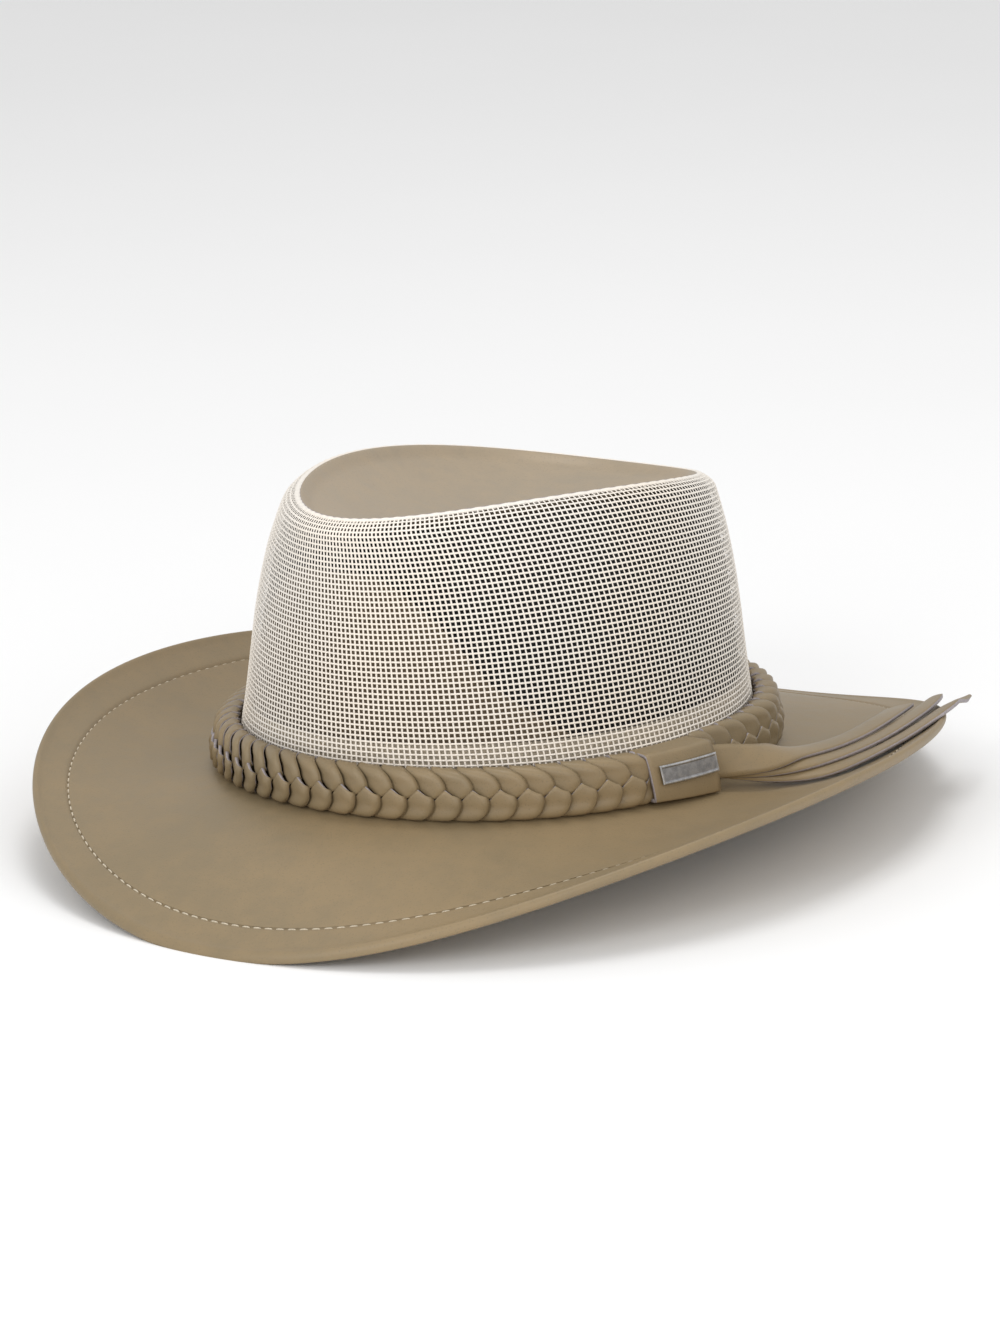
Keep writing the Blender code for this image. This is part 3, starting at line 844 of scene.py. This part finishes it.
@dataclass
class InnerCloth:
    """Sweatband, stiff front panel and the crown's near-black inner sheet, whose colour paints
    the shade inside the crown.
    """

    maker: PieceMaker
    band_height: float = 0.0270
    band_thickness: float = 0.0014
    panel_rise: float = 0.0570
    panel_half_turn: float = 56.0
    panel_thickness: float = 0.0012
    panel_least: float = 0.02
    lining_thickness: float = 0.0008
    outline: tuple[PanelRow, ...] = table_of(
        PanelRow, (0.00, 1.00), (0.27, 0.99), (0.36, 0.92), (0.42, 0.86), (0.54, 0.71),
        (0.61, 0.57), (0.71, 0.36), (0.80, 0.24), (1.00, 0.02))

    def build(self) -> None:
        """Build the three cloth pieces."""
        inset = FORM.mesh_thickness + FORM.soft_gap
        foot = self.band_height - FORM.mesh_depth + FORM.gap
        finishes = self.maker.finishes

        def band(along: float, up: float) -> Vector:
            turn, level = along * tau, self.band_height * up - FORM.mesh_depth
            if level < 0:
                return FORM.base_point(turn, -inset, FORM.break_height(turn) + level)
            return FORM.wall_at(turn, level, inset)

        def panel(along: float, up: float) -> Vector:
            side = 2 * along - 1
            turn = radians(side * self.panel_half_turn - 90)
            row = smooth_row(self.outline, row_place(self.outline, abs(side)))
            rise = self.panel_rise * max(row.rise, self.panel_least)
            return FORM.wall_at(turn, foot + rise * up, inset)

        def painted_shade_lining(along: float, up: float) -> Vector:
            turn = along * tau
            high = FORM.shoulder_point(turn).z - FORM.break_height(turn)
            inner = inset + self.panel_thickness + FORM.soft_gap
            return FORM.wall_at(turn, foot + (high - foot) * up, inner)
        pieces = (
            ("sweatband_cloth", band, 240, 12, finishes.towel, "sweatband_cloth", "sweatband",
             self.band_thickness, (0.600, 0.027), None),
            ("panel_cloth", panel, 120, 16, finishes.panel, "tan_panel", "front_panel",
             self.panel_thickness, (0.178, 0.057), 0.0056),
            # The crown's inner sheet is near-black: painted shade inside the crown.
            ("lining_painted_shade", painted_shade_lining, 180, 16, finishes.painted_shade_lining, "dark_lining", "crown_lining",
             self.lining_thickness, (0.535, 0.075), None),
        )
        for name, place, along, across, material, slot, node, wall, flat, area in pieces:
            made = self.maker.piece(name, bent_grid(place, along, across), [material], slot,
                                    [node], wall=wall)


@dataclass
class BraidedBand:
    """Two rows of folded leather tabs that overlap to the right."""

    maker: PieceMaker
    keeper: "Keeper"
    links: int = 68
    steps_across: int = 9
    lines_between: int = 2
    thickness: float = 0.0011
    apex: float = 0.54
    slope_gain: float = 1.12
    slope_power: float = 0.85
    bulge: float = 0.04
    crease_start: float = 0.86
    crease_drop: float = 0.13
    lower_reach: float = 1.21
    lower_lift: float = 0.15
    lift_start: float = 0.6
    tuck_up: float = 0.16
    tuck_out: float = 0.12
    tuck_before: float = 1.0
    tuck_span: float = 1.4
    hidden_from: float = 4.0
    hidden_past: float = 1.0
    drawn_in: float = 0.24
    neck_start: float = 3.0
    neck_end: float = 22.0
    core_steps: tuple[int, int] = (240, 10)
    core_reach: float = 0.38
    core_kept: float = 0.24
    core_half_height: float = 0.40
    tab: tuple[TabRow, ...] = table_of(
        TabRow,
        (-0.34, 0.30, 0.940, 0.940, 0.10, 0.14, 0.00),
        (-0.38, 0.42, 0.995, 0.985, 0.32, 0.50, 0.00),
        (-0.37, 0.64, 0.975, 0.950, 0.46, 0.84, 0.00),
        (-0.30, 0.85, 0.905, 0.875, 0.50, 0.98, 0.00),
        (-0.20, 0.97, 0.820, 0.785, 0.50, 1.00, 0.03),
        (-0.09, 1.01, 0.735, 0.700, 0.56, 1.00, 0.10),
        (0.03, 0.99, 0.670, 0.630, 0.64, 0.90, 0.20))

    def squeeze(self, angle: float) -> float:
        """Share of its depth that the braid has at a turn in degrees, least past the keeper."""
        start = self.keeper.turn + self.keeper.half_turn()
        if angle < start - 2:
            return 1.0
        widened = eased((angle - start - self.neck_start) / (self.neck_end - start))
        return self.drawn_in + (1 - self.drawn_in) * widened

    def tuck(self, angle: float) -> float:
        """How far a link at a turn in degrees is drawn in to fit inside the keeper."""
        inside = self.keeper.half_turn() - abs(angle - self.keeper.turn)
        return eased((inside + self.tuck_before) / self.tuck_span)

    def hidden(self, angle: float) -> bool:
        """Whether a tab at a turn in degrees lies wholly inside the keeper."""
        turn, half = self.keeper.turn, self.keeper.half_turn()
        return turn - half + self.hidden_from < angle < turn + half + self.hidden_past

    def add_tab(self, form: Form, link: float, lower: bool) -> None:
        """Add one folded tab, with its left crease so many links round the band."""
        lines = (len(self.tab) - 1) * self.lines_between

        def place(across: float, down: float) -> Vector:
            row = smooth_row(self.tab, down * (len(self.tab) - 1))
            along = row.left + (row.right - row.left) * across
            up = row.left_up + (row.right_up - row.left_up) * across
            up -= row.point * max(1 - 2 * abs(across - self.apex), 0.0)
            slope = min(across * self.slope_gain, 1.0) ** self.slope_power
            crease = eased((across - self.crease_start) / (1 - self.crease_start))
            out = row.left_out + (row.right_out - row.left_out) * slope
            out += self.bulge * sin(pi * across) - self.crease_drop * crease
            turn = (link + along) / self.links * tau
            angle = signed_degrees(turn)
            if lower:
                up = (1 - up) * self.lower_reach
                out += self.lower_lift * eased((down - self.lift_start) / (1 - self.lift_start))
            tuck = self.tuck(angle)
            up = 0.5 + (up - 0.5) * (1 - self.tuck_up * tuck)
            out *= (1 - self.tuck_out * tuck) * self.squeeze(angle)
            depth = FORM.gap + (FORM.band_proud - FORM.gap) * out
            return FORM.band_point(turn, depth, FORM.gap + FORM.band_height * up)
        add_grid(form, place, self.steps_across, lines)

    def build(self) -> None:
        """Build both rows of tabs and the strands behind them."""
        finishes = self.maker.finishes
        for name, lower in (("braid_upper", False), ("braid_lower", True)):
            form = bmesh.new()
            for index in range(self.links):
                link = index + 0.5 * lower
                if not self.hidden(signed_degrees((link + 0.5) / self.links * tau)):
                    self.add_tab(form, link, lower)
            if lower:
                bmesh.ops.reverse_faces(form, faces=form.faces)
            self.maker.piece(name, form, [finishes.tab, finishes.edge], "tan_leather",
                             ["braided_band"], weld=0.0, wall=self.thickness, smooth=60.0)

        def core(along: float, around: float) -> Vector:
            turn = along * tau
            angle = signed_degrees(turn)
            reach = self.core_reach * self.squeeze(angle)
            if abs(angle - self.keeper.turn) < self.keeper.half_turn() + self.hidden_past:
                reach = self.core_kept
            out = FORM.gap + FORM.band_proud * reach * (0.5 + 0.5 * sin(around * tau))
            level = FORM.band_height * (0.5 + self.core_half_height * cos(around * tau))
            return FORM.band_point(turn, out, FORM.gap + level)
        # The strands behind the tabs wear darkened leather, which paints the shade in the gaps.
        self.maker.piece("braid_core", bent_grid(core, *self.core_steps), [finishes.core],
                         "tan_leather", ["braided_band"], closed=True, smooth=180.0)


@dataclass
class Keeper:
    """Leather loop round the band, with its bare metal plate."""

    maker: PieceMaker
    turn: float = -14.2
    length: float = 0.0270
    thickness: float = 0.0012
    over: float = 0.0014
    seat: float = 0.0085
    flare: float = 0.0012
    plate_length: float = 0.0236
    plate_height: float = 0.0066
    plate_thickness: float = 0.0007
    plate_recess: float = 0.00025
    plate_border: float = 0.0007
    plate_bevel: float = 0.0003
    plate_rounding: float = 0.00022
    plate_forward: float = 0.6
    plate_level: float = 0.60
    steps: int = 16
    rows_between: int = 4
    plate_steps: tuple[int, int] = (96, 36)
    section: tuple[SectionRow, ...] = table_of(
        SectionRow, (0.00, 0.00), (0.80, 0.00), (0.97, 0.10), (1.00, 0.50), (0.97, 0.88),
        (0.80, 1.00), (0.00, 1.00), (0.00, 0.50))

    def depth(self) -> float:
        """Distance from the crown's wall to the keeper's outer face."""
        return FORM.band_proud + self.over

    def half_turn(self) -> float:
        """Half the turn that the keeper covers, in degrees."""
        reach = FORM.base_point(radians(self.turn)).xy.length + FORM.band_proud
        return degrees(self.length / reach / 2)

    def rim_distance(self, along: float, up: float) -> float:
        """Distance from the plate's nearest edge."""
        return min(min(along, 1 - along) * self.plate_length, min(up, 1 - up) * self.plate_height)

    def build(self) -> None:
        """Build the loop and its plate."""
        finishes = self.maker.finishes
        count = len(self.section)

        def loop(along: float, around: float) -> Vector:
            turn = radians(self.turn + self.half_turn() * (2 * along - 1))
            row = smooth_row(self.section, around * count, closed=True)
            out = FORM.gap + (self.depth() + self.flare * along - FORM.gap) * max(row.out, 0.0)
            level = FORM.gap + (FORM.band_height + FORM.gap) * min(max(row.up, 0.0), 1.0)
            point = FORM.band_point(turn, out, level)
            sink = FORM.break_height(turn) - FORM.brim_top(turn, self.seat * row.out)
            point.z -= sink * along * (1 - min(row.up, 1.0))
            return point
        form = bent_grid(loop, self.steps, count * self.rows_between)
        self.maker.piece("keeper_leather", form, [finishes.tab, finishes.edge], "tan_leather",
                         ["keeper"], wall=self.thickness, smooth=60.0)
        turn_each = 1 / (FORM.base_point(radians(self.turn)).xy.length + self.depth())

        def plate(along: float, up: float) -> Vector:
            rim = self.rim_distance(along, up)
            turn = radians(self.turn + self.plate_forward) + (
                along - 0.5) * self.plate_length * turn_each
            share = (degrees(turn) - self.turn) / self.half_turn() / 2 + 0.5
            out = (self.depth() + self.flare * share + FORM.soft_gap
                   + self.plate_recess + self.plate_thickness)
            dip = self.plate_recess * eased((rim - self.plate_border) / self.plate_bevel)
            rounding = self.plate_rounding * (1 - eased(rim / self.plate_bevel))
            level = FORM.band_height * self.plate_level + (up - 0.5) * self.plate_height
            return FORM.band_point(turn, out - dip - rounding, level)
        form = bmesh.new()
        shares = add_grid(form, plate, *self.plate_steps)
        for face in form.faces:
            if min(self.rim_distance(*shares[vert]) for vert in face.verts) > self.plate_border:
                face.material_index = 1
        self.maker.piece("plate_metal", form, [finishes.metal, finishes.patina], "antique_silver",
                         ["keeper_plate"], wall=self.plate_thickness, smooth=50.0)


class Strip(NamedTuple):
    """Loose strip: its place in the stack, share of the route, and its end's share of width."""

    name: str
    layer: int
    reach: float
    tip: float


@dataclass
class LooseStrips:
    """Three loose ends of leather that leave the keeper and lie along the brim."""

    maker: PieceMaker
    thickness: float = 0.0012
    width: float = 0.0115
    taper: float = 0.16
    bow: float = 0.0004
    steps: int = 90
    steps_across: int = 6
    probe_across: float = 0.1
    probe_turn: float = 0.01
    strips: tuple[Strip, ...] = table_of(
        Strip, ("tail_inner", 1, 1.0, 1.0), ("tail_middle", 0, 1.0, 0.5),
        ("tail_outer", -1, 0.97, 0.08))
    route: tuple[RouteRow, ...] = table_of(
        RouteRow, (-18.5, 0.0585, 7.8, 1.27, 64, 0.00), (-8.0, 0.0615, 7.9, 1.27, 62, 0.00),
        (-2.5, 0.1150, 7.8, 1.40, 54, 0.00), (4.0, 0.2700, 6.7, 1.80, 30, 0.15),
        (11.5, 0.4400, 4.9, 1.90, 5, 0.65), (21.5, 0.6400, 3.9, 1.80, 0, 0.85),
        (32.0, 0.8400, 3.6, 1.50, 0, 1.02), (41.0, 0.9800, 2.8, 0.50, 0, 1.20))

    def point(self, strip: Strip, along: float, side: float) -> Vector:
        """Point on a strip's middle surface at shares of its length and width."""
        row = smooth_row(self.route, along * strip.reach * (len(self.route) - 1))
        turn, tilt = radians(row.turn), radians(row.roll)
        aside = strip.layer * row.fan * self.width
        across = row.across - aside * cos(tilt) / FORM.brim_width(turn)
        middle = FORM.brim_point(turn, across,
                                 FORM.brim_thickness / 2 + row.lift * self.thickness)
        here = FORM.brim_point(turn, across)
        inward = (FORM.brim_point(turn, across - self.probe_across) - here).normalized()
        run = FORM.brim_point(turn + self.probe_turn, across) - here
        upward = run.cross(inward).normalized()
        over = inward * cos(tilt) + upward * sin(tilt)
        outward = upward * cos(tilt) - inward * sin(tilt)
        taper = min((1 - along) / self.taper, 1.0)
        half = self.width / 2 * (strip.tip + (1 - strip.tip) * taper)
        bow = self.bow * (1 - (2 * side - 1) ** 2)
        return (middle + over * (2 * side - 1) * half + upward * aside * sin(tilt)
                + outward * (strip.layer * row.stack * self.thickness + bow))

    def build(self) -> None:
        """Build the strips."""
        finishes = self.maker.finishes
        for strip in self.strips:
            form = bent_grid(partial(self.point, strip), self.steps, self.steps_across)
            self.maker.piece(f"{strip.name}_leather", form, [finishes.tab, finishes.edge],
                             "tan_leather_strip", [strip.name], wall=self.thickness, offset=0.0,
                             smooth=60.0)


class Lamp(NamedTuple):
    """Square soft light."""

    name: str
    place: tuple[float, float, float]
    size: float
    power: float


@dataclass
class Studio:
    """Pale floor, soft lights and the camera."""

    finishes: Finishes
    lamps: tuple[Lamp, ...] = table_of(
        Lamp, ("key_light", (0.1, -1.8, 1.0), 0.9, 10.0),
        ("fill_light", (1.5, -1.0, 0.7), 1.2, 7.5), ("top_light", (0.0, 0.2, 1.9), 0.8, 9.0))
    surroundings: float = 0.72
    floor_half: float = 8.0
    target: tuple[float, float, float] = (0.0, 0.0019, 0.0550)
    distance: float = 1.676572
    azimuth: float = 31.4768
    elevation: float = 15.0991
    roll: float = -0.8826
    focal_pixels: float = 4747.2
    image: tuple[int, int] = (1000, 1333)
    aim: tuple[float, float] = (498.54, 659.95)
    sensor: float = 36.0

    def build_camera(self) -> None:
        """Place the camera at the photograph's angle."""
        side, lift = radians(self.azimuth), radians(self.elevation)
        back = Vector((sin(side) * cos(lift), -cos(side) * cos(lift), sin(lift)))
        data = bpy.data.cameras.new("camera")
        data.sensor_width = self.sensor
        data.lens = self.focal_pixels * self.sensor / max(self.image)
        data.shift_x = (self.image[0] / 2 - self.aim[0]) / max(self.image)
        data.shift_y = (self.aim[1] - self.image[1] / 2) / max(self.image)
        camera = add_item("camera", data)
        camera.location = Vector(self.target) + back * self.distance
        camera.rotation_euler = (-back).to_track_quat("-Z", "Y").to_euler()
        camera.rotation_euler.rotate_axis("Z", radians(self.roll))
        bpy.context.scene.camera = camera

    def build_light(self, lamp: Lamp) -> None:
        """Add a light that faces the hat."""
        data = bpy.data.lights.new(lamp.name, "AREA")
        data.size, data.energy = lamp.size, lamp.power
        item = add_item(lamp.name, data)
        item.location = lamp.place
        back = item.location - Vector(self.target)
        item.rotation_euler = back.to_track_quat("Z", "Y").to_euler()

    def build(self) -> None:
        """Build the floor, the lights, the surroundings and the camera."""
        form = bmesh.new()
        bmesh.ops.create_grid(form, x_segments=1, y_segments=1, size=self.floor_half)
        mesh_item("floor", form, [self.finishes.floor])
        for lamp in self.lamps:
            self.build_light(lamp)
        world = bpy.context.scene.world or bpy.data.worlds.new("surroundings")
        bpy.context.scene.world = world
        world.use_nodes = True
        sky = world.node_tree.nodes["Background"]
        sky.inputs["Color"].default_value = (1.0, 1.0, 1.0, 1.0)
        sky.inputs["Strength"].default_value = self.surroundings
        bpy.context.scene.view_settings.view_transform = "Standard"
        self.build_camera()


def main() -> None:
    """Build the hat and its studio."""
    logging.basicConfig(level=logging.INFO)
    finishes = Finishes()
    maker = PieceMaker(finishes)
    keeper = Keeper(maker)
    CrownMesh(maker).build_net()
    Brim(maker).build()
    CrownTip(maker).build()
    InnerCloth(maker).build()
    BraidedBand(maker, keeper).build()
    keeper.build()
    LooseStrips(maker).build()
    Studio(finishes).build()


if __name__ == "__main__":
    main()
